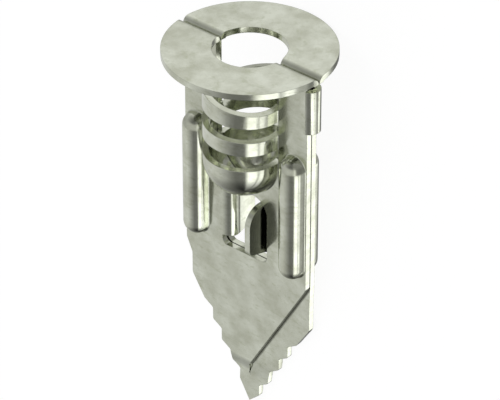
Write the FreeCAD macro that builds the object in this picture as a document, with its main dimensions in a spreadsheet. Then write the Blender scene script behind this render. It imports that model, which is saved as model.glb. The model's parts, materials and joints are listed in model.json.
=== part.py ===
import FreeCAD, Part
import math
import os
import re
import Sketcher

# Hollow wall anchor folded from one strip of zinc-plated sheet steel.
# Two like halves lie face to face and are joined by one U-shaped fold at the +X edge. Each half turns
# out at the top into half of a round flange. Below it, pressed bands make the thread for the screw,
# a round cup closes them, a tongue passes through the other half, and one edge of the point is toothed.
# Frame before it is laid down: Z along the screw with the flange's top at 0, X along the split,
# the front half at Y < 0. The back half is the front half turned by 180 degrees about Z.

doc = FreeCAD.newDocument("hollow_wall_anchor")

DIMENSIONS = {
    # sheet
    "thick": 0.6,
    "gap": 0.1,
    "seamGap": 0.05,
    # flange
    "headRadius": 8.0,
    "holeRadius": 3.47,
    "flangeBend": 0.1,
    # sheet outline; the neck and the cut are measured from the tip
    "length": 39.3,
    "halfWidth": 7.22,
    "neckHalfWidth": 6.84,
    "neckStart": 16.0,
    "neckEnd": 14.4,
    "neckFoot": 12.15,
    "cutStart": 16.2,
    "cutEnd": 4.25,
    "cutCorner": 1.2,
    "neckCorner": 0.8,
    # teeth of the point, measured from the tip, and how much lower they stand on the back half
    "shoulderX": 5.35,
    "shoulderZ": 9.8,
    "toothX": 4.3,
    "toothZ": 9.15,
    "toothPitch": 1.07,
    "toothRise": 1.3,
    "toothDrop": 0.65,
    "toothRound": 0.28,
    "lastRise": 1.2,
    "backLower": 0.55,
    # pressed bands, cup and window; a fall is how much lower an edge ends at its right
    "bulgeRadius": 3.84,
    "bulgeOffset": 0.8,
    "bulgeFoot": 0.12,
    "windowLeft": 3.45,
    "windowRight": 3.9,
    "bandOneTop": 4.1,
    "bandOneTopFall": 1.4,
    "bandOneEnd": 5.72,
    "bandOneEndFall": 0.65,
    "bandTwoTop": 7.25,
    "bandTwoTopFall": 0.5,
    "bandTwoEnd": 8.7,
    "bandTwoEndFall": 0.4,
    "cupTop": 10.4,
    "cupTopFall": 0.15,
    "cupCentre": 10.8,
    "slitPast": 0.06,
    # ribs; their end is measured from the tip
    "ribX": 5.85,
    "ribRadius": 1.22,
    "ribOffset": 0.5,
    "ribTop": 9.15,
    "ribEnd": 17.3,
    # opening and tongue
    "openLeft": 2.8,
    "tongueRoom": 0.2,
    "openTop": 15.2,
    "openEnd": 22.15,
    "openTopCorner": 1.8,
    "openEndCorner": 0.6,
    "tongueBend": 0.6,
    "tongueReach": 2.62,
    "tongueTop": 15.75,
    "tongueRoot": 21.2,
    "tongueEnd": 20.4,
    "tongueTopCorner": 1.8,
    "tongueEndCorner": 0.65,
    # fold that joins the halves
    "foldTop": 1.4,
    "foldEnd": 5.8,
    "foldReach": 8.0,
    # length over which both points come into one plane
    "joggleLength": 0.65,
}

sheet = doc.addObject("Spreadsheet::Sheet", "Dimensions")
for row, (alias, value) in enumerate(DIMENSIONS.items(), start=1):
    sheet.set(f"A{row}", alias)
    sheet.set(f"B{row}", str(value))
    sheet.setAlias(f"B{row}", alias)
doc.recompute()


def named(formula):
    """Put the sheet's name before each alias in a formula."""
    return re.sub(r"[A-Za-z]+", lambda word: f"Dimensions.{word.group()}", formula)


def value_of(formula):
    return float(sheet.evalExpression(named(formula)))


def sketch_on(body, name, plane, offset="0"):
    """A sketch on one of the body's origin planes, moved along its normal by a formula."""
    sketch = body.newObject("Sketcher::SketchObject", name)
    flat = next(f for f in body.Origin.OriginFeatures if f.Role == plane)
    sketch.AttachmentSupport = [(flat, "")]
    sketch.MapMode = "FlatFace"
    sketch.setExpression("AttachmentOffset.Base.z", named(offset))
    return sketch


def polygon(sketch, points):
    """A closed outline whose corners are pinned to formulas from the sheet."""
    corners = [FreeCAD.Vector(value_of(x), value_of(y), 0) for x, y in points]
    first = sketch.GeometryCount
    for start, end in zip(corners, corners[1:] + corners[:1]):
        sketch.addGeometry(Part.LineSegment(start, end), False)
    count = len(corners)
    for index, (x, y) in enumerate(points):
        line = first + index
        before = first + (index - 1) % count
        sketch.addConstraint(Sketcher.Constraint("Coincident", before, 2, line, 1))
        for kind, formula in (("DistanceX", x), ("DistanceY", y)):
            constraint = sketch.addConstraint(Sketcher.Constraint(kind, -1, 1, line, 1, value_of(formula)))
            sketch.setExpression(f"Constraints[{constraint}]", named(formula))


def outline_with_arcs(sketch, points, arcs):
    """A closed outline; arcs gives the radius of each stretch that bends left (+) or right (-)."""
    corners = [FreeCAD.Vector(value_of(x), value_of(y), 0) for x, y in points]
    ends = []
    for index, (start, end) in enumerate(zip(corners, corners[1:] + corners[:1])):
        if index not in arcs:
            line = sketch.addGeometry(Part.LineSegment(start, end), False)
            ends.append((line, 1, 2))
            continue
        side, formula = arcs[index]
        radius = value_of(formula)
        chord = end - start
        rise = math.sqrt(max(radius ** 2 - chord.Length ** 2 / 4, 0))
        across = FreeCAD.Vector(-chord.y, chord.x, 0).normalize()
        centre = (start + end) / 2 + across * (rise * side)
        angles = [math.atan2(point.y - centre.y, point.x - centre.x) for point in (start, end)]
        ring = Part.Circle(centre, FreeCAD.Vector(0, 0, 1), radius)
        first, last = angles if side > 0 else reversed(angles)
        arc = sketch.addGeometry(Part.ArcOfCircle(ring, first, last), False)
        size = sketch.addConstraint(Sketcher.Constraint("Radius", arc, radius))
        sketch.setExpression(f"Constraints[{size}]", named(formula))
        ends.append((arc, 1, 2) if side > 0 else (arc, 2, 1))
    for index, (x, y) in enumerate(points):
        piece, start, _ = ends[index]
        before, _, end = ends[index - 1]
        sketch.addConstraint(Sketcher.Constraint("Coincident", before, end, piece, start))
        for kind, formula in (("DistanceX", x), ("DistanceY", y)):
            constraint = sketch.addConstraint(Sketcher.Constraint(kind, -1, 1, piece, start, value_of(formula)))
            sketch.setExpression(f"Constraints[{constraint}]", named(formula))


def circle(sketch, x, y, radius):
    """A circle whose centre and radius are pinned to formulas from the sheet."""
    centre = FreeCAD.Vector(value_of(x), value_of(y), 0)
    ring = sketch.addGeometry(Part.Circle(centre, FreeCAD.Vector(0, 0, 1), value_of(radius)), False)
    for kind, formula in (("DistanceX", x), ("DistanceY", y)):
        constraint = sketch.addConstraint(Sketcher.Constraint(kind, -1, 1, ring, 3, value_of(formula)))
        sketch.setExpression(f"Constraints[{constraint}]", named(formula))
    size = sketch.addConstraint(Sketcher.Constraint("Radius", ring, value_of(radius)))
    sketch.setExpression(f"Constraints[{size}]", named(radius))


def feature(body, kind, name, sketch, length=None, **settings):
    """A pad or pocket of a sketch; its volume change is checked, so a wrong direction can't pass."""
    made = body.newObject(f"PartDesign::{kind}", name)
    made.Profile = sketch
    before = body.Shape.Volume if body.Shape.isNull() is False else 0.0
    if length:
        made.setExpression("Length", named(length))
    for setting, value in settings.items():
        setattr(made, setting, value)
    doc.recompute()
    if abs(made.Shape.Volume - before) < 1e-6:
        raise RuntimeError(f"{name} changes nothing")
    return made


def edges_where(shape, test):
    """Names of the edges whose middle and direction pass a test."""
    names = []
    for number, edge in enumerate(shape.Edges, start=1):
        if edge.Length < 0.01:
            continue
        low, high = edge.ParameterRange
        middle = edge.valueAt((low + high) / 2)
        along = edge.tangentAt((low + high) / 2)
        if test(edge, middle, along):
            names.append(f"Edge{number}")
    return names


def fillet(body, name, radius, test):
    base = body.Tip
    made = body.newObject("PartDesign::Fillet", name)
    made.Base = (base, edges_where(base.Shape, test))
    made.setExpression("Radius", named(radius))
    doc.recompute()
    return made


def through_sheet(x, z, reach=0.02):
    """Test for an edge across the sheet at the given place in the XZ view."""
    place_x = value_of(x)
    place_z = value_of(z)

    def test(edge, middle, along):
        close = abs(middle.x - place_x) < reach and abs(middle.z - place_z) < reach
        return close and abs(along.y) > 0.5

    return test


def primitive(body, kind, name, x, y, z, tilt=0, **formulas):
    """A cylinder or sphere added to or cut from the body; tilt turns a sphere's poles off the sheet."""
    made = body.newObject(f"PartDesign::{kind}", name)
    made.Placement = FreeCAD.Placement(FreeCAD.Vector(), FreeCAD.Rotation(FreeCAD.Vector(1, 0, 0), tilt))
    for axis, formula in zip("xyz", (x, y, z)):
        made.setExpression(f"Placement.Base.{axis}", named(formula))
    for size, formula in formulas.items():
        made.setExpression(size, named(formula))
    doc.recompute()
    return made


def sloped(name, side):
    """Level of a band's edge at its left (-1) or right (+1) end."""
    return f"-{name} - {side} * {name}Fall / 2"


TEETH = 4
POLE_TILT = 45
SIDES = (("Left", "-"), ("Right", ""))
SHEET_FACE = "gap / 2 + thick"
BULGE_HEIGHT = "cupCentre - bandOneTop + bandOneTopFall / 2"
RIB_FOOT = "ribEnd - length + ribRadius"
RIB_HEIGHT = "length - ribEnd - ribTop - 2 * ribRadius"


def tooth_points(lower):
    """Corners of the toothed edge, from the tip up to the shoulder."""
    corners = []
    for tooth in reversed(range(TEETH)):
        x = f"-toothX + {tooth} * toothPitch"
        top = f"toothZ - length - {lower} - {tooth} * (toothRise + toothDrop)"
        rise = "lastRise" if tooth == TEETH - 1 else "toothRise"
        corners.append((x, f"{top} - {rise}"))
        corners.append((x, top))
    corners.append(("-shoulderX", f"shoulderZ - length - {lower}"))
    return corners


def folded_sheet(half):
    """Upright sheet, bend and flange seen along X, with the joggle near the tip."""
    section = sketch_on(half, "FoldSection", "YZ_Plane")
    polygon(section, [
        ("-headRadius - 1", "0"),
        ("-headRadius - 1", "-thick"),
        (f"-({SHEET_FACE})", "-thick"),
        (f"-({SHEET_FACE})", "cutEnd - length"),
        ("-thick / 2", "cutEnd - length - joggleLength"),
        ("-thick / 2", "-length - 1"),
        ("thick / 2", "-length - 1"),
        ("thick / 2", "cutEnd - length - joggleLength"),
        ("-gap / 2", "cutEnd - length"),
        ("-gap / 2", "0"),
    ])
    feature(half, "Pad", "FoldedSheet", section, "2 * headRadius + 2", Midplane=True)
    bend_y = value_of("-gap / 2")
    fillet(half, "BendOutside", "thick + flangeBend",
           lambda edge, middle, along: abs(along.x) > 0.9 and abs(middle.y - bend_y) < 0.01
           and middle.z > -0.01)
    inner_y = value_of(f"-({SHEET_FACE})")
    inner_z = value_of("-thick")
    fillet(half, "BendInside", "flangeBend",
           lambda edge, middle, along: abs(along.x) > 0.9 and abs(middle.y - inner_y) < 0.01
           and abs(middle.z - inner_z) < 0.01)

    rim = sketch_on(half, "FlangeRim", "XY_Plane")
    circle(rim, "0", "0", "headRadius")
    polygon(rim, [("-2 * headRadius", "-2 * headRadius"), ("2 * headRadius", "-2 * headRadius"),
                  ("2 * headRadius", "2 * headRadius"), ("-2 * headRadius", "2 * headRadius")])
    feature(half, "Pocket", "RoundRim", rim, "thick + flangeBend")


def outline_cut(half, lower):
    """Straight edge and slanting cut at +X, stepped and toothed edge at -X, all with rounded corners."""
    teeth = tooth_points(lower)
    steps = [("-neckHalfWidth", f"neckFoot - length - {lower}"), ("-neckHalfWidth", "neckEnd - length"),
             ("-halfWidth", "neckStart - length")]
    outline = sketch_on(half, "SheetOutline", "XZ_Plane", "-headRadius")
    polygon(outline, [
        ("headRadius + 0.5", "1"),
        ("headRadius + 0.5", "-thick - flangeBend"),
        ("halfWidth", "-thick - flangeBend"),
        ("halfWidth", "cutStart - length"),
        ("-seamGap / 2", "cutEnd - length"),
        ("-seamGap / 2", "-length"),
        *teeth,
        *steps,
        ("-halfWidth", "-thick - flangeBend"),
        ("-headRadius - 0.5", "-thick - flangeBend"),
        ("-headRadius - 0.5", "1"),
    ])
    polygon(outline, [("-2 * headRadius", "2"), ("2 * headRadius", "2"),
                      ("2 * headRadius", "-length - 2"), ("-2 * headRadius", "-length - 2")])
    feature(half, "Pocket", "OutlineCut", outline, Type="ThroughAll", Midplane=True)
    fillet(half, "CutCorner", "cutCorner", through_sheet("halfWidth", "cutStart - length"))
    for name, radius, corners in (("NeckCorners", "neckCorner", steps), ("ToothCorners", "toothRound", teeth)):
        tests = [through_sheet(x, z) for x, z in corners]
        fillet(half, name, radius,
               lambda edge, middle, along: any(test(edge, middle, along) for test in tests))


def pressed_forms(half):
    """Bulge for the screw, half a cylinder closed by a quarter sphere, and a rib at each side of it."""
    primitive(half, "AdditiveCylinder", "BulgeOutside", "0", "-bulgeOffset", "-cupCentre",
              Radius="bulgeRadius", Height=BULGE_HEIGHT)
    primitive(half, "AdditiveSphere", "CupOutside", "0", "-bulgeOffset", "-cupCentre", POLE_TILT,
              Radius="bulgeRadius")
    for side, sign in SIDES:
        primitive(half, "AdditiveCylinder", f"Rib{side}", f"{sign}ribX", "-ribOffset",
                  RIB_FOOT, Radius="ribRadius", Height=RIB_HEIGHT)
        for end, z, tilt in (("Top", "-ribTop - ribRadius", -POLE_TILT), ("End", RIB_FOOT, POLE_TILT)):
            primitive(half, "AdditiveSphere", f"Rib{end}{side}", f"{sign}ribX", "-ribOffset", z, tilt,
                      Radius="ribRadius")

    face_y = value_of(f"-({SHEET_FACE})")
    foot_low = value_of("ribEnd - length - ribRadius / 2")
    foot_high = value_of("-bandOneTop - 1")
    foot_side = value_of("halfWidth - 0.01")
    fillet(half, "PressedFoot", "bulgeFoot",
           lambda edge, middle, along: abs(middle.y - face_y) < 0.001 and abs(along.y) < 0.01
           and foot_low < middle.z < foot_high and abs(middle.x) < foot_side)

    primitive(half, "SubtractiveCylinder", "BulgeInside", "0", "-bulgeOffset", "-cupCentre",
              Radius="bulgeRadius - thick", Height=f"{BULGE_HEIGHT} + 1")
    primitive(half, "SubtractiveSphere", "CupInside", "0", "-bulgeOffset", "-cupCentre", POLE_TILT,
              Radius="bulgeRadius - thick")
    for side, sign in SIDES:
        primitive(half, "SubtractiveCylinder", f"RibHollow{side}", f"{sign}ribX", "-ribOffset",
                  RIB_FOOT, Radius="ribRadius - thick", Height=RIB_HEIGHT)
        for end, z in (("Top", "-ribTop - ribRadius"), ("End", RIB_FOOT)):
            primitive(half, "SubtractiveSphere", f"RibHollow{end}{side}", f"{sign}ribX",
                      "-ribOffset", z, Radius="ribRadius - thick")
    back = sketch_on(half, "BehindSplit", "XZ_Plane", "gap / 2")
    polygon(back, [("-2 * headRadius", "1"), ("2 * headRadius", "1"),
                   ("2 * headRadius", "cutEnd - length"), ("-2 * headRadius", "cutEnd - length")])
    feature(half, "Pocket", "SplitFace", back, "2 * bulgeRadius")


def holes(half):
    """Screw hole, window under the flange, slits between the bands, and the opening for a tongue."""
    hole = sketch_on(half, "ScrewHole", "XY_Plane")
    circle(hole, "0", "0", "holeRadius")
    feature(half, "Pocket", "ScrewHoleCut", hole, "thick + flangeBend")

    slots = sketch_on(half, "Slots", "XZ_Plane", "-headRadius")
    polygon(slots, [("-windowLeft", "-thick - flangeBend"), ("windowRight", "-thick - flangeBend"),
                    ("windowRight", sloped("bandOneTop", 1)), ("-windowLeft", sloped("bandOneTop", -1))])
    slit = "bulgeRadius + slitPast"
    for top, end in (("bandOneEnd", "bandTwoTop"), ("bandTwoEnd", "cupTop")):
        polygon(slots, [(f"-({slit})", sloped(top, -1)), (slit, sloped(top, 1)),
                        (slit, sloped(end, 1)), (f"-({slit})", sloped(end, -1))])
    feature(half, "Pocket", "SlotCut", slots, Type="ThroughAll", Midplane=True)

    open_right = "openLeft - tongueRoom"
    opening = sketch_on(half, "Opening", "XZ_Plane", "-headRadius")
    polygon(opening, [("-openLeft", "-openTop"), (open_right, "-openTop"),
                      (open_right, "-openEnd"), ("-openLeft", "-openEnd")])
    feature(half, "Pocket", "OpeningCut", opening, Type="ThroughAll", Midplane=True)
    fillet(half, "OpeningTopCorner", "openTopCorner", through_sheet(open_right, "-openTop"))
    small = [through_sheet("-openLeft", "-openTop"), through_sheet("-openLeft", "-openEnd"),
             through_sheet(open_right, "-openEnd")]
    fillet(half, "OpeningSmallCorners", "openEndCorner",
           lambda edge, middle, along: any(test(edge, middle, along) for test in small))


def tongue(half):
    """D-shaped tongue: it turns in from the opening's left side and stands out behind the other half."""
    plan = sketch_on(half, "TonguePlan", "XY_Plane", "-tongueRoot")
    outline_with_arcs(plan, [
        ("-openLeft - 0.2", f"-({SHEET_FACE})"),
        ("-openLeft", f"-({SHEET_FACE})"),
        ("-openLeft + tongueBend + thick", "-gap / 2 + tongueBend"),
        ("-openLeft + tongueBend + thick", "tongueReach"),
        ("-openLeft + tongueBend", "tongueReach"),
        ("-openLeft + tongueBend", "-gap / 2 + tongueBend"),
        ("-openLeft", "-gap / 2"),
        ("-openLeft - 0.2", "-gap / 2"),
    ], {1: (1, "tongueBend + thick"), 5: (-1, "tongueBend")})
    feature(half, "Pad", "Tongue", plan, "tongueRoot - tongueTop")

    side = sketch_on(half, "TongueSide", "YZ_Plane", "-openLeft - 0.5")
    polygon(side, [
        ("gap / 2", "-tongueRoot"),
        ("tongueReach", "-tongueEnd"),
        ("tongueReach + 1", "-tongueEnd"),
        ("tongueReach + 1", "-tongueRoot - 1"),
        ("gap / 2", "-tongueRoot - 1"),
    ])
    feature(half, "Pocket", "TongueLowerSide", side, "2 * openLeft", Reversed=True)
    reach_y = value_of("tongueReach")
    for name, radius, level in (("TongueTopCorner", "tongueTopCorner", "-tongueTop"),
                                ("TongueEndCorner", "tongueEndCorner", "-tongueEnd")):
        place_z = value_of(level)
        fillet(half, name, radius,
               lambda edge, middle, along: abs(along.x) > 0.9 and abs(middle.y - reach_y) < 0.01
               and abs(middle.z - place_z) < 0.01)


def anchor_half(name, lower):
    """One half in the front's place; lower is how much further down its teeth stand."""
    half = doc.addObject("PartDesign::Body", name)
    folded_sheet(half)
    outline_cut(half, lower)
    pressed_forms(half)
    holes(half)
    tongue(half)
    return half


def joining_fold():
    """U-shaped fold that joins the halves at the +X edge."""
    fold = doc.addObject("PartDesign::Body", "JoiningFold")
    plan = sketch_on(fold, "FoldPlan", "XY_Plane", "-foldEnd")
    outer = f"({SHEET_FACE})"
    centre = "foldReach - gap / 2 - thick"
    outline_with_arcs(plan, [
        ("halfWidth - 0.5", f"-{outer}"),
        (centre, f"-{outer}"),
        ("foldReach", "0"),
        (centre, outer),
        ("halfWidth - 0.5", outer),
        ("halfWidth - 0.5", "gap / 2"),
        (centre, "gap / 2"),
        (f"{centre} + gap / 2", "0"),
        (centre, "-gap / 2"),
        ("halfWidth - 0.5", "-gap / 2"),
    ], {1: (1, outer), 2: (1, outer), 6: (-1, "gap / 2"), 7: (-1, "gap / 2")})
    feature(fold, "Pad", "FoldPad", plan, "foldEnd - foldTop")
    return fold


def at_rest(shape):
    """Placement in which the anchor lies on its back, on the flange's rim, its tip and a tooth."""
    radius = value_of("headRadius")
    rim_z = value_of("-thick")
    tip = FreeCAD.Vector(0, value_of("thick / 2"), value_of("-length"))
    corner = FreeCAD.Vector(value_of("toothX - toothPitch"), value_of(SHEET_FACE),
                            value_of("toothZ - length - backLower - 2 * toothRise - toothDrop"))
    share = (corner.z - rim_z) / (tip.z - rim_z)
    sine_part = corner.x - share * tip.x
    cosine_part = corner.y - share * tip.y
    roll = math.atan2(sine_part, cosine_part) - math.acos(
        radius * (1 - share) / math.hypot(sine_part, cosine_part))
    lean = (radius - tip.x * math.sin(roll) - tip.y * math.cos(roll)) / (tip.z - rim_z)
    down = FreeCAD.Vector(math.sin(roll), math.cos(roll), lean).normalize()
    up = -down
    along = FreeCAD.Vector(0, 0, 1)
    along = (along - up * along.dot(up)).normalize()
    across = along.cross(up)
    turn = FreeCAD.Rotation(FreeCAD.Matrix(
        across.x, across.y, across.z, 0,
        along.x, along.y, along.z, 0,
        up.x, up.y, up.z, 0,
        0, 0, 0, 1))
    laid = shape.copy()
    laid.Placement = FreeCAD.Placement(FreeCAD.Vector(), turn)
    box = laid.optimalBoundingBox(False)
    return FreeCAD.Placement(-FreeCAD.Vector(box.Center.x, box.Center.y, box.ZMin), turn)


front = anchor_half("FrontHalf", "0")
back_source = anchor_half("BackHalfUnturned", "backLower")

# The back half is turned by 180 degrees about Z as two mirror images.
mirrored = doc.addObject("Part::Mirroring", "HalfMirrored")
mirrored.Source = back_source
mirrored.Normal = FreeCAD.Vector(0, 1, 0)
back = doc.addObject("Part::Mirroring", "BackHalf")
back.Source = mirrored
back.Normal = FreeCAD.Vector(1, 0, 0)

anchor = doc.addObject("Part::MultiFuse", "Anchor")
anchor.Label = "anchor_sheet"
anchor.Shapes = [front, back, joining_fold()]
doc.recompute()
anchor.Placement = at_rest(anchor.Shape)
doc.recompute()

for thing in doc.Objects:
    if "Invalid" in thing.State or "Error" in thing.State:
        raise RuntimeError(f"{thing.Label}: {thing.State}")
if anchor.Shape.isNull() or not anchor.Shape.isValid() or len(anchor.Shape.Solids) != 1:
    raise RuntimeError("anchor_sheet is not one valid solid")

os.makedirs("parts", exist_ok=True)
anchor.Shape.exportStep(f"parts/{anchor.Label}.step")
print(anchor.Label, round(anchor.Shape.Volume, 3), anchor.Shape.BoundBox, len(anchor.Shape.Faces))
print("placement", anchor.Placement.Base, anchor.Placement.Rotation.Matrix)
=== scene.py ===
# Folded sheet-steel wall anchor, laid on its back on a plain pale surface.
import json
import math

import bmesh
import bpy
from mathutils import Matrix, Vector


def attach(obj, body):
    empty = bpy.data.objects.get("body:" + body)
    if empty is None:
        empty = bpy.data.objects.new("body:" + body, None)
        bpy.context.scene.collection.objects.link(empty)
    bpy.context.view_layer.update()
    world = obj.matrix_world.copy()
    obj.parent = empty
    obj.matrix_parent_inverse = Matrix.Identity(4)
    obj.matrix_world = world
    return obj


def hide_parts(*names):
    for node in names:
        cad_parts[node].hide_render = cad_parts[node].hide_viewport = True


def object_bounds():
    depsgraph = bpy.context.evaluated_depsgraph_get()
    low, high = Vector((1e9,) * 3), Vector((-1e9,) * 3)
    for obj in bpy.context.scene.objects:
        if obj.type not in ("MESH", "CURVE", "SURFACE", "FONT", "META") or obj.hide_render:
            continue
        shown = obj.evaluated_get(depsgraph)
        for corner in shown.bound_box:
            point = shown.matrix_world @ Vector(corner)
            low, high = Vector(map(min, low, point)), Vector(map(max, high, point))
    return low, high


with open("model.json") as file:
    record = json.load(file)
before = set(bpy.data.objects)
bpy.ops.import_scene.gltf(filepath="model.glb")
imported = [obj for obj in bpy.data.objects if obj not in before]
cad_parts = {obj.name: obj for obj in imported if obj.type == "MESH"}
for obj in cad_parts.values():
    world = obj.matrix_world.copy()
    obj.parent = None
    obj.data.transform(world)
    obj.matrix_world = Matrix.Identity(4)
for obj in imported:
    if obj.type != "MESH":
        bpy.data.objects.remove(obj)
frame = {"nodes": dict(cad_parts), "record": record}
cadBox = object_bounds()
print("stage: frame loaded")

mm = 0.001

# The anchor's own axes, read from the record's mounts: screwAxis points out of the flange,
# frontAxis out of the front half, and sideAxis towards the fold that joins the halves.
mounts = {mount["name"]: mount for mount in frame["record"]["mounts"]}
headCentre = Vector(mounts["screw_hole"]["pos_m"])
screwAxis = Vector(mounts["screw_hole"]["axis"]).normalized()
towardsFront = Vector(mounts["head_face"]["pos_m"]) - headCentre
frontAxis = (towardsFront - screwAxis * towardsFront.dot(screwAxis)).normalized()
sideAxis = screwAxis.cross(frontAxis)


def anchorDirection(side, front, up):
    return (sideAxis * side + frontAxis * front + screwAxis * up).normalized()


def newMaterial(name):
    material = bpy.data.materials.new(name)
    material.use_nodes = True
    material.node_tree.nodes.clear()
    return material, material.node_tree.nodes, material.node_tree.links


def addNode(nodes, kind, **inputs):
    node = nodes.new(kind)
    for socket, value in inputs.items():
        node.inputs[socket].default_value = value
    return node


def feed(links, socket, value):
    if isinstance(value, bpy.types.NodeSocket):
        links.new(value, socket)
    else:
        socket.default_value = value


def mapped(nodes, links, value, start, end, low=0.0, high=1.0):
    node = nodes.new("ShaderNodeMapRange")
    for socket, limit in zip(("From Min", "From Max", "To Min", "To Max"), (start, end, low, high)):
        node.inputs[socket].default_value = limit
    links.new(value, node.inputs["Value"])
    return node.outputs["Result"]


def mixedColour(nodes, links, factor, first, second, blend="MIX"):
    node = nodes.new("ShaderNodeMix")
    node.data_type = "RGBA"
    node.blend_type = blend
    feed(links, node.inputs["Factor"], factor)
    feed(links, node.inputs[6], first)
    feed(links, node.inputs[7], second)
    return node.outputs[2]


# zinc-plated steel; its lengths are metres
zinc = {
    "pale": (0.80, 0.83, 0.71, 1.0),
    "dull": (0.62, 0.64, 0.52, 1.0),
    "blotchScale": 420.0,
    "blotchTones": (0.36, 0.66),        # where in the blotches the dull tone ends and the pale one starts
    "fleck": (0.50, 0.53, 0.38, 1.0),
    "fleckScale": (1000.0, 2600.0, 1000.0),
    "fleckTones": (0.54, 0.68),
    "fleckShare": 0.5,
    "roughnessLow": 0.08,
    "roughnessHigh": 0.22,
    "roughnessTones": (0.3, 0.7),
    "grainScale": 2600.0,
    "grainHeight": 0.000004,
    "grainStrength": 0.35,
    "edgeRadius": 0.00006,
    "edgeSamples": 6,
    # painted shade: how dark the marked sheared faces and tongue faces are made
    "shearedPaintedShade": 0.4,
    # painted shade in corners, gaps and hollows: how far the occlusion looks, how dark it paints, and at
    # what openness
    "cornerReach": 0.0007,
    "paintedCornerShade": 0.2,
    "cornerTones": (0.1, 0.75),         # openness that counts as a corner, and as free
    "cornerSamples": 12,
}


def zincMaterial():
    material, nodes, links = newMaterial("zincPlatedSteel")
    place = nodes.new("ShaderNodeTexCoord").outputs["Object"]

    def noise(vector, **settings):
        node = addNode(nodes, "ShaderNodeTexNoise", **settings)
        links.new(vector, node.inputs["Vector"])
        return node.outputs["Fac"]

    def scaled(colour, factor):
        node = nodes.new("ShaderNodeVectorMath")
        node.operation = "SCALE"
        links.new(colour, node.inputs["Vector"])
        links.new(factor, node.inputs["Scale"])
        return node.outputs["Vector"]

    blotches = noise(place, Scale=zinc["blotchScale"], Detail=4.0, Roughness=0.6)
    tone = nodes.new("ShaderNodeValToRGB")
    for element, position, name in zip(tone.color_ramp.elements, zinc["blotchTones"], ("dull", "pale")):
        element.position = position
        element.color = zinc[name]
    links.new(blotches, tone.inputs["Fac"])

    # small olive flecks, longer across the anchor than along it
    stretch = addNode(nodes, "ShaderNodeMapping", Scale=zinc["fleckScale"])
    links.new(place, stretch.inputs["Vector"])
    flecks = noise(stretch.outputs["Vector"], Scale=1.0, Detail=5.0, Roughness=0.65)
    fleckMask = mapped(nodes, links, flecks, *zinc["fleckTones"], 0.0, zinc["fleckShare"])
    plating = mixedColour(nodes, links, fleckMask, tone.outputs["Color"], zinc["fleck"])

    # painted shade: darker on the sheared faces and the tongues' inner faces that are marked on the sheet,
    # and in corners, gaps and hollows where shade falls
    paintedShade = nodes.new("ShaderNodeAttribute")
    paintedShade.attribute_name = "paintedShade"
    shade = mapped(nodes, links, paintedShade.outputs["Fac"], 0.0, 1.0, 1.0, zinc["shearedPaintedShade"])
    plating = scaled(plating, shade)
    # painted shade in corners, gaps and hollows, from how open each point is
    openness = addNode(nodes, "ShaderNodeAmbientOcclusion", Distance=zinc["cornerReach"])
    openness.samples = zinc["cornerSamples"]
    corner = mapped(nodes, links, openness.outputs["AO"], *zinc["cornerTones"], zinc["paintedCornerShade"], 1.0)
    plating = scaled(plating, corner)

    # fine grain over edges that are rounded in shading
    edge = addNode(nodes, "ShaderNodeBevel", Radius=zinc["edgeRadius"])
    edge.samples = zinc["edgeSamples"]
    grain = noise(place, Scale=zinc["grainScale"], Detail=3.0, Roughness=0.55)
    relief = addNode(nodes, "ShaderNodeBump", Strength=zinc["grainStrength"], Distance=zinc["grainHeight"])
    links.new(grain, relief.inputs["Height"])
    links.new(edge.outputs["Normal"], relief.inputs["Normal"])

    dullToPale = (zinc["roughnessHigh"], zinc["roughnessLow"])
    roughness = mapped(nodes, links, blotches, *zinc["roughnessTones"], *dullToPale)
    metal = addNode(nodes, "ShaderNodeBsdfPrincipled", Metallic=1.0)
    links.new(plating, metal.inputs["Base Color"])
    links.new(roughness, metal.inputs["Roughness"])
    links.new(relief.outputs["Normal"], metal.inputs["Normal"])
    out = nodes.new("ShaderNodeOutputMaterial")
    links.new(metal.outputs["BSDF"], out.inputs["Surface"])
    return material


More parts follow.
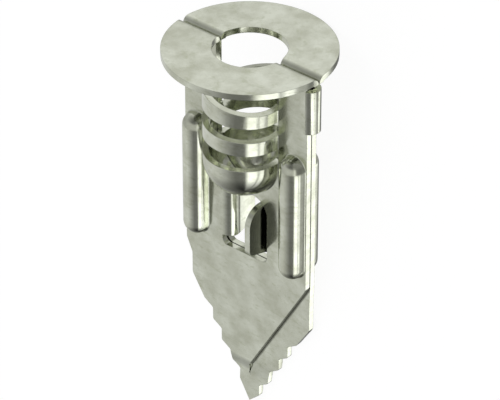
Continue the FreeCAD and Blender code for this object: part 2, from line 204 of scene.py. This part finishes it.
# The sheet itself: the frame's own shape with its doubles merged, and with the places where the pressed
# steel runs softer than the solid. Lengths are millimetres in the anchor's own axes.
sheetFinish = {
    "mergeDistance": 0.0005,
    "near": 0.01,               # within which a point counts as on a line
    "smoothAngle": 28.0,        # degrees
    "sheetFace": 0.65,          # from the middle plane to the outer face of a half
    "halfWidth": 7.22,
    "cutStart": 23.1,
    "cutEnd": 35.05,
    "length": 39.3,
    # half the solid's seam between the points, how close a point has to be to it, and what is merged there
    "seamHalf": 0.025,
    "seamNear": 0.003,
    "seamMerge": 0.002,
    # the point stands a little to the fold's side, below the neck
    "sway": 0.3,
    "tipSway": 0.1,             # of the far side's last teeth
    "swayFrom": 23.3,
    "swayTo": 24.9,
    "swayBlend": 0.6,           # either side of the middle
    "swayFade": 1.5,            # below the cut's end
    # the back half's teeth stand lower
    "toothDrop": 0.42,
    "toothDropFrom": 25.0,
    "toothDropTo": 27.5,
    "toothDropEnd": 38.0,
    # the points come into one plane in a soft bend: how far each one moves, and from which depth to which
    "bendOffset": 0.35,
    "solidBend": (35.05, 35.7),
    "softBend": (34.0, 35.9),
    "bendRings": 12,
    # stiffening ribs, as they are in the solid and as they are finished: side, front, radius, top, end
    "solidRib": (5.85, 0.5, 1.22, 9.15, 22.0),
    "softRib": (5.77, 0.745, 1.345, 8.85, 22.05),
    "ribFoot": 0.14,            # past the radius, and still the rib's
    "ribBlend": 0.35,           # above the sheet's face
    "ribRoot": 0.001,           # below it, and still the rib's
    "ribInside": 0.9,           # share of the radius within which a point is on the inner wall and stays
    # the cup below the bands
    "cupDrop": 0.18,
    "cupFrom": 10.5,
    "cupTo": 11.0,
    "cupEnd": 15.0,
    "cupSide": 4.1,
    # the joining fold, as it is in the solid
    "foldMiddle": 7.35,
    "foldInside": 0.05,         # how far inside its middle it starts
    "foldDepths": (1.4, 5.8),
    "foldFoot": 7.2,
    # and as it is finished, a rounder, hollow loop
    "loopRadius": 1.0,
    "loopHollow": 0.4,          # its inner radius
    "loopStart": 13.0,          # degrees of its round that lie over the sheet's face
    # where the tongues are
    "tongueSides": (2.0, 2.9),
    "tongueDepths": (15.6, 21.3),
    # how far a sheared face looks down, and how little to the front
    "shearedDown": 0.3,
    "shearedFront": 0.3,
    "tongueFacing": 0.7,        # how far a tongue's inner face looks sideways
}


def toFrame(point):
    side, front, up = point
    return headCentre + (sideAxis * side + frontAxis * front + screwAxis * up) * mm


def toAnchor(point):
    offset = (point - headCentre) / mm
    return Vector((offset.dot(sideAxis), offset.dot(frontAxis), offset.dot(screwAxis)))


# from 0 at the start to 1 at the end, without a corner
def softStep(value, start, end):
    share = min(max((value - start) / (end - start), 0.0), 1.0)
    return share * share * (3.0 - 2.0 * share)


# the halves lie one behind the other, and side by side where the points share one plane
def onFrontHalf(point):
    if point.z > -sheetFinish["solidBend"][0]:
        return point.y > 0.0
    return point.x < 0.0


# towards the fold's side
def swayed(point):
    depth = -point.z
    if depth <= sheetFinish["cutStart"]:
        return 0.0
    if depth >= sheetFinish["cutEnd"]:
        low, high = sheetFinish["tipSway"], sheetFinish["sway"]
        nearFold = softStep(point.x, -sheetFinish["swayBlend"], sheetFinish["swayBlend"])
        fadeEnd = sheetFinish["cutEnd"] + sheetFinish["swayFade"]
        nearBend = 1.0 - softStep(depth, sheetFinish["cutEnd"], fadeEnd)
        return low + (high - low) * max(nearFold, nearBend)
    # from the toothed edge to the slanting cut of the same half
    towardsCut = 1.0 if onFrontHalf(point) else -1.0
    atCut = (depth - sheetFinish["cutStart"]) / (sheetFinish["cutEnd"] - sheetFinish["cutStart"])
    cutAcross = sheetFinish["halfWidth"] * (1.0 - atCut)
    atTeeth = softStep(depth, sheetFinish["swayFrom"], sheetFinish["swayTo"])
    across = (point.x * towardsCut + sheetFinish["halfWidth"]) / (cutAcross + sheetFinish["halfWidth"])
    across = min(max(across, 0.0), 1.0)
    return sheetFinish["sway"] * (atTeeth * (1.0 - across) + atCut * across)


def loweredTeeth(point):
    depth = -point.z
    if onFrontHalf(point) or point.x < 0.0:
        return 0.0
    start = softStep(depth, sheetFinish["toothDropFrom"], sheetFinish["toothDropTo"])
    end = 1.0 - softStep(depth, sheetFinish["toothDropEnd"], sheetFinish["length"])
    return -sheetFinish["toothDrop"] * start * end


# the soft bend, less the one that the solid has
def bentPoint(point):
    depth = -point.z
    solidStart, solidEnd = sheetFinish["solidBend"]
    if depth < sheetFinish["softBend"][0] or depth > sheetFinish["softBend"][1]:
        return 0.0
    inward = -1.0 if onFrontHalf(point) else 1.0
    solidShare = min(max((depth - solidStart) / (solidEnd - solidStart), 0.0), 1.0)
    softShare = softStep(depth, *sheetFinish["softBend"])
    return inward * sheetFinish["bendOffset"] * (softShare - solidShare)


def swollenRib(point):
    side, front, radius, top, end = sheetFinish["solidRib"]
    newSide, newFront, newRadius, newTop, newEnd = sheetFinish["softRib"]
    # all four ribs are worked out as the one at the front and the fold's side
    sideSign = 1.0 if point.x > 0.0 else -1.0
    frontSign = 1.0 if point.y > 0.0 else -1.0
    depth = -point.z
    coreTop, coreEnd = top + radius, end - radius
    share = min(max((depth - coreTop) / (coreEnd - coreTop), 0.0), 1.0)
    core = Vector((side, front, coreTop + (coreEnd - coreTop) * share))
    newCore = Vector((newSide, newFront, newTop + newRadius + (newEnd - newTop - 2.0 * newRadius) * share))
    local = Vector((point.x * sideSign, point.y * frontSign, depth))
    offset = local - core
    rise = local.y - sheetFinish["sheetFace"]
    onSkin = radius * sheetFinish["ribInside"] <= offset.length <= radius + sheetFinish["ribFoot"]
    if not onSkin or rise < -sheetFinish["ribRoot"]:
        return Vector((0.0, 0.0, 0.0))
    move = newCore - core + offset.normalized() * (newRadius - radius)
    move.y *= softStep(rise, 0.0, sheetFinish["ribBlend"])
    move.x = min(move.x, sheetFinish["halfWidth"] - local.x)
    return Vector((move.x * sideSign, move.y * frontSign, -move.z))


# each point of the fold moves to the loop's outer or inner round
def roundedFold(point):
    top, end = sheetFinish["foldDepths"]
    near = sheetFinish["near"]
    across = point.x - sheetFinish["foldMiddle"]
    if not top - near < -point.z < end + near or across < -sheetFinish["foldInside"]:
        return Vector((0.0, 0.0, 0.0))
    turn = math.atan2(max(across, 0.0), abs(point.y))
    radius = sheetFinish["loopHollow"]
    if math.hypot(across, point.y) > radius:
        radius = sheetFinish["loopRadius"]
        start = math.radians(sheetFinish["loopStart"])
        turn = start + turn * (1.0 - start / (math.pi / 2))
    middle = sheetFinish["foldMiddle"] + sheetFinish["sheetFace"] - sheetFinish["loopRadius"]
    outward = math.copysign(radius * math.cos(turn), point.y)
    return Vector((middle + radius * math.sin(turn), outward, point.z)) - point


def droppedCup(point):
    depth = -point.z
    if abs(point.x) > sheetFinish["cupSide"] or depth > sheetFinish["cupEnd"]:
        return 0.0
    return -sheetFinish["cupDrop"] * softStep(depth, sheetFinish["cupFrom"], sheetFinish["cupTo"])


def cutRing(shape, place, normal):
    everything = shape.verts[:] + shape.edges[:] + shape.faces[:]
    bmesh.ops.bisect_plane(shape, geom=everything, plane_co=toFrame(place), plane_no=normal)


# rings of points for the soft bend, and round the fold, so that nothing beside them is pulled along
def addRings(shape):
    start, end = sheetFinish["softBend"]
    for ring in range(sheetFinish["bendRings"] + 1):
        cutRing(shape, (0, 0, -start - (end - start) * ring / sheetFinish["bendRings"]), screwAxis)
    cutRing(shape, (sheetFinish["foldFoot"], 0, 0), sideAxis)
    for depth in sheetFinish["foldDepths"]:
        cutRing(shape, (0, 0, -depth), screwAxis)


def closeSeam(shape):
    seam = []
    near = sheetFinish["near"]
    for vertex in shape.verts:
        place = toAnchor(vertex.co)
        fromSeam = abs(abs(place.x) - sheetFinish["seamHalf"])
        if place.z < -sheetFinish["cutEnd"] + near and fromSeam < sheetFinish["seamNear"]:
            place.x = math.copysign(sheetFinish["mergeDistance"] / 2, place.x)
            vertex.co = toFrame(place)
            seam.append(vertex)
    # below the bend the two points make one plane, and the walls between them go
    touching = {vertex for vertex in seam if toAnchor(vertex.co).z < -sheetFinish["softBend"][1] + near}
    walls = [face for face in shape.faces if all(vertex in touching for vertex in face.verts)]
    bmesh.ops.delete(shape, geom=walls, context="FACES")
    touching = [vertex for vertex in touching if vertex.is_valid]
    bmesh.ops.remove_doubles(shape, verts=touching, dist=sheetFinish["seamMerge"] * mm)


# marks the sheared faces and the tongues' inner faces that get painted shade
def markPaintedShade(shape):
    mark = shape.faces.layers.float.new("paintedShade")
    tongueStart, tongueEnd = sheetFinish["tongueDepths"]
    tongueNear, tongueFar = sheetFinish["tongueSides"]
    for face in shape.faces:
        place = toAnchor(face.calc_center_median())
        depth = -place.z
        down = -face.normal.dot(screwAxis)
        frontwards = abs(face.normal.dot(frontAxis))
        facing = down > sheetFinish["shearedDown"] and frontwards < sheetFinish["shearedFront"]
        paintedShade = facing and depth > sheetFinish["cutStart"]
        # each tongue's face that looks at the sheet beside it, which gets painted shade
        sideways = face.normal.dot(sideAxis) * math.copysign(1.0, place.x)
        atTongue = tongueNear < abs(place.x) < tongueFar and tongueStart < depth < tongueEnd
        shaded = atTongue and sideways > sheetFinish["tongueFacing"] and place.x * place.y > 0.0
        face[mark] = 1.0 if paintedShade or shaded else 0.0


def finishedSheet(solidSheet, material):
    sheet = solidSheet.copy()
    sheet.data = solidSheet.data.copy()
    sheet.name = "anchorSheetFinished"
    bpy.context.scene.collection.objects.link(sheet)
    world = solidSheet.matrix_world.copy()
    sheet.parent = None
    sheet.matrix_world = world
    bpy.ops.object.select_all(action="DESELECT")
    sheet.select_set(True)
    bpy.context.view_layer.objects.active = sheet
    bpy.ops.object.transform_apply(location=True, rotation=True, scale=True)

    shape = bmesh.new()
    shape.from_mesh(sheet.data)
    bmesh.ops.remove_doubles(shape, verts=shape.verts, dist=sheetFinish["mergeDistance"] * mm)
    addRings(shape)
    closeSeam(shape)
    shape.normal_update()
    markPaintedShade(shape)
    for vertex in shape.verts:
        point = toAnchor(vertex.co)
        moved = point + swollenRib(point) + roundedFold(point)
        moved.x += swayed(point)
        moved.y += bentPoint(point)
        moved.z += loweredTeeth(point) + droppedCup(point)
        vertex.co = toFrame(moved)
    shape.to_mesh(sheet.data)
    shape.free()

    bpy.ops.mesh.customdata_custom_splitnormals_clear()
    bpy.ops.object.shade_smooth_by_angle(angle=math.radians(sheetFinish["smoothAngle"]))
    sheet.data.materials.clear()
    sheet.data.materials.append(material)
    sheet.select_set(False)
    return sheet


steel = zincMaterial()
anchorSheet = frame["nodes"]["anchor_sheet"]
anchorSheet.data.materials.clear()
anchorSheet.data.materials.append(steel)
sheet = finishedSheet(anchorSheet, steel)
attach(sheet, "root")
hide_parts("anchor_sheet")
print("stage: sheet finished")

# floor
floor = {
    "size": 1.2,
    "colour": (0.93, 0.93, 0.93, 1.0),
    "white": (1.0, 1.0, 1.0, 1.0),
    "whiteShare": 0.78,         # the rest of what the camera sees is the matt floor with its shadow
    "whiteStrength": 1.17,
}


def paleFloor():
    bpy.ops.mesh.primitive_plane_add(size=floor["size"], location=(0, 0, cadBox[0][2]))
    ground = bpy.context.active_object
    ground.name = "floor"
    material, nodes, links = newMaterial("paleFloor")
    matt = addNode(nodes, "ShaderNodeBsdfDiffuse", Color=floor["colour"])
    rays = nodes.new("ShaderNodeLightPath")

    # white paper for the camera, with a share of the matt floor that keeps the shadow
    share = nodes.new("ShaderNodeMath")
    share.operation = "MULTIPLY"
    share.inputs[1].default_value = floor["whiteShare"]
    links.new(rays.outputs["Is Camera Ray"], share.inputs[0])
    white = addNode(nodes, "ShaderNodeEmission", Color=floor["white"], Strength=floor["whiteStrength"])
    seenByCamera = nodes.new("ShaderNodeMixShader")
    links.new(share.outputs["Value"], seenByCamera.inputs["Fac"])
    links.new(matt.outputs["BSDF"], seenByCamera.inputs[1])
    links.new(white.outputs["Emission"], seenByCamera.inputs[2])

    # the metal mirrors the room on every side
    clear = nodes.new("ShaderNodeBsdfTransparent")
    seenByMetal = nodes.new("ShaderNodeMixShader")
    links.new(rays.outputs["Is Glossy Ray"], seenByMetal.inputs["Fac"])
    links.new(seenByCamera.outputs["Shader"], seenByMetal.inputs[1])
    links.new(clear.outputs["BSDF"], seenByMetal.inputs[2])
    out = nodes.new("ShaderNodeOutputMaterial")
    links.new(seenByMetal.outputs["Shader"], out.inputs["Surface"])
    ground.data.materials.append(material)
    return ground


paleFloor()

# studio light: soft boxes and dark flags round the anchor, told in its own axes. Each belt gives the room's
# brightness by azimuth in degrees, from the front half (0) towards the fold (90).
room = {
    "lowBelt": [(-180, 0.18), (-160, 0.18), (-140, 0.66), (-45, 0.66), (-25, 0.52), (0, 0.30), (16, 0.18),
                (42, 0.17), (53, 1.6), (76, 1.5), (79, 0.6), (82, 0.6), (85, 1.4), (97, 1.2), (105, 0.5),
                (118, 0.5), (124, 0.15), (129, 0.2), (138, 1.6), (156, 1.4), (168, 0.4), (180, 0.18)],
    "middleBelt": [(-180, 0.45), (-60, 0.45), (-20, 0.58), (38, 0.6), (46, 1.1), (54, 0.9), (62, 0.24),
                   (100, 0.2), (180, 0.45)],
    "highBelt": [(-180, 0.45), (-160, 0.84), (-130, 0.84), (-100, 0.6), (-60, 0.4), (-25, 0.25), (0, 0.15),
                 (25, 0.15), (40, 0.3), (150, 0.3), (180, 0.45)],
    # brightness of the low belt by elevation, down to the dark below
    "lowFade": [(-90, 0.06), (-75, 0.18), (-62, 0.42), (-54, 0.65), (-45, 1.0), (0, 1.0)],
    # elevations between which one belt gives way to the next
    "lowToMiddle": (-27, -18),
    "middleToHigh": (18, 34),
}


def angleRamp(nodes, stops, lowest, highest):
    node = nodes.new("ShaderNodeValToRGB")
    ramp = node.color_ramp
    while len(ramp.elements) < len(stops):
        ramp.elements.new(0.5)
    angles, levels = zip(*stops)
    for element, angle in zip(ramp.elements, angles):
        element.position = (angle - lowest) / (highest - lowest)
    for element, level in zip(ramp.elements, levels):
        element.color = (level, level, level, 1.0)
    return node


def studioWorld():
    world = bpy.data.worlds.new("softRoom")
    bpy.context.scene.world = world
    world.use_nodes = True
    nodes = world.node_tree.nodes
    links = world.node_tree.links
    nodes.clear()

    place = nodes.new("ShaderNodeTexCoord").outputs["Generated"]

    def along(axis):
        node = nodes.new("ShaderNodeVectorMath")
        node.operation = "DOT_PRODUCT"
        links.new(place, node.inputs[0])
        node.inputs[1].default_value = axis
        return node.outputs["Value"]

    def angleOf(operation, *values):
        node = nodes.new("ShaderNodeMath")
        node.operation = operation
        for socket, value in zip(node.inputs, values):
            links.new(value, socket)
        return node.outputs["Value"]

    def share(angle, lowest, highest):
        return mapped(nodes, links, angle, math.radians(lowest), math.radians(highest))

    azimuth = angleOf("ARCTAN2", along(sideAxis), along(frontAxis))
    elevation = angleOf("ARCSINE", along(screwAxis))
    belts = []
    for name in ("lowBelt", "middleBelt", "highBelt"):
        belt = angleRamp(nodes, room[name], -180, 180)
        links.new(share(azimuth, -180, 180), belt.inputs["Fac"])
        belts.append(belt.outputs["Color"])
    low, middle, high = belts
    fade = angleRamp(nodes, room["lowFade"], -90, 0)
    links.new(share(elevation, -90, 0), fade.inputs["Fac"])
    low = mixedColour(nodes, links, 1.0, low, fade.outputs["Color"], "MULTIPLY")
    lower = mixedColour(nodes, links, share(elevation, *room["lowToMiddle"]), low, middle)
    whole = mixedColour(nodes, links, share(elevation, *room["middleToHigh"]), lower, high)

    light = nodes.new("ShaderNodeBackground")
    links.new(whole, light.inputs["Color"])
    white = addNode(nodes, "ShaderNodeBackground", Color=(1.0, 1.0, 1.0, 1.0), Strength=1.0)
    rays = nodes.new("ShaderNodeLightPath")
    pick = nodes.new("ShaderNodeMixShader")
    links.new(rays.outputs["Is Camera Ray"], pick.inputs["Fac"])
    links.new(light.outputs["Background"], pick.inputs[1])
    links.new(white.outputs["Background"], pick.inputs[2])
    out = nodes.new("ShaderNodeOutputWorld")
    links.new(pick.outputs["Shader"], out.inputs["Surface"])


studioWorld()

# camera at the photograph's viewing angle
view = {
    "azimuth": 40.365,      # degrees round the screw's axis, from the front half towards the fold
    "elevation": 34.128,    # degrees above the flange's plane
    "aimDepth": 18.0,       # mm down the axis from the flange's top
    "shiftRight": 0.008,    # mm
    "shiftUp": 1.267,       # mm
    "distance": 308.386,    # mm
    "focalPixels": 3347.763,
    "imageWidth": 500,
    "sensorWidth": 36.0,    # mm
    "clipStart": 0.01,      # metres
    "clipEnd": 10.0,
}


def addCamera():
    turn = math.radians(view["azimuth"])
    rise = math.radians(view["elevation"])
    back = anchorDirection(math.sin(turn) * math.cos(rise), math.cos(turn) * math.cos(rise), math.sin(rise))
    right = anchorDirection(math.cos(turn), -math.sin(turn), 0)
    up = back.cross(right)
    place = headCentre - screwAxis * view["aimDepth"] * mm
    place += right * view["shiftRight"] * mm + up * view["shiftUp"] * mm + back * view["distance"] * mm
    data = bpy.data.cameras.new("camera")
    camera = bpy.data.objects.new("camera", data)
    bpy.context.scene.collection.objects.link(camera)
    axes = Matrix((right, up, back)).transposed().to_4x4()
    camera.matrix_world = Matrix.Translation(place) @ axes
    data.sensor_width = view["sensorWidth"]
    data.lens = data.sensor_width * view["focalPixels"] / view["imageWidth"]
    data.clip_start = view["clipStart"]
    data.clip_end = view["clipEnd"]
    bpy.context.scene.camera = camera


addCamera()
bpy.context.scene.view_settings.view_transform = "Standard"
print("stage: light and camera set")
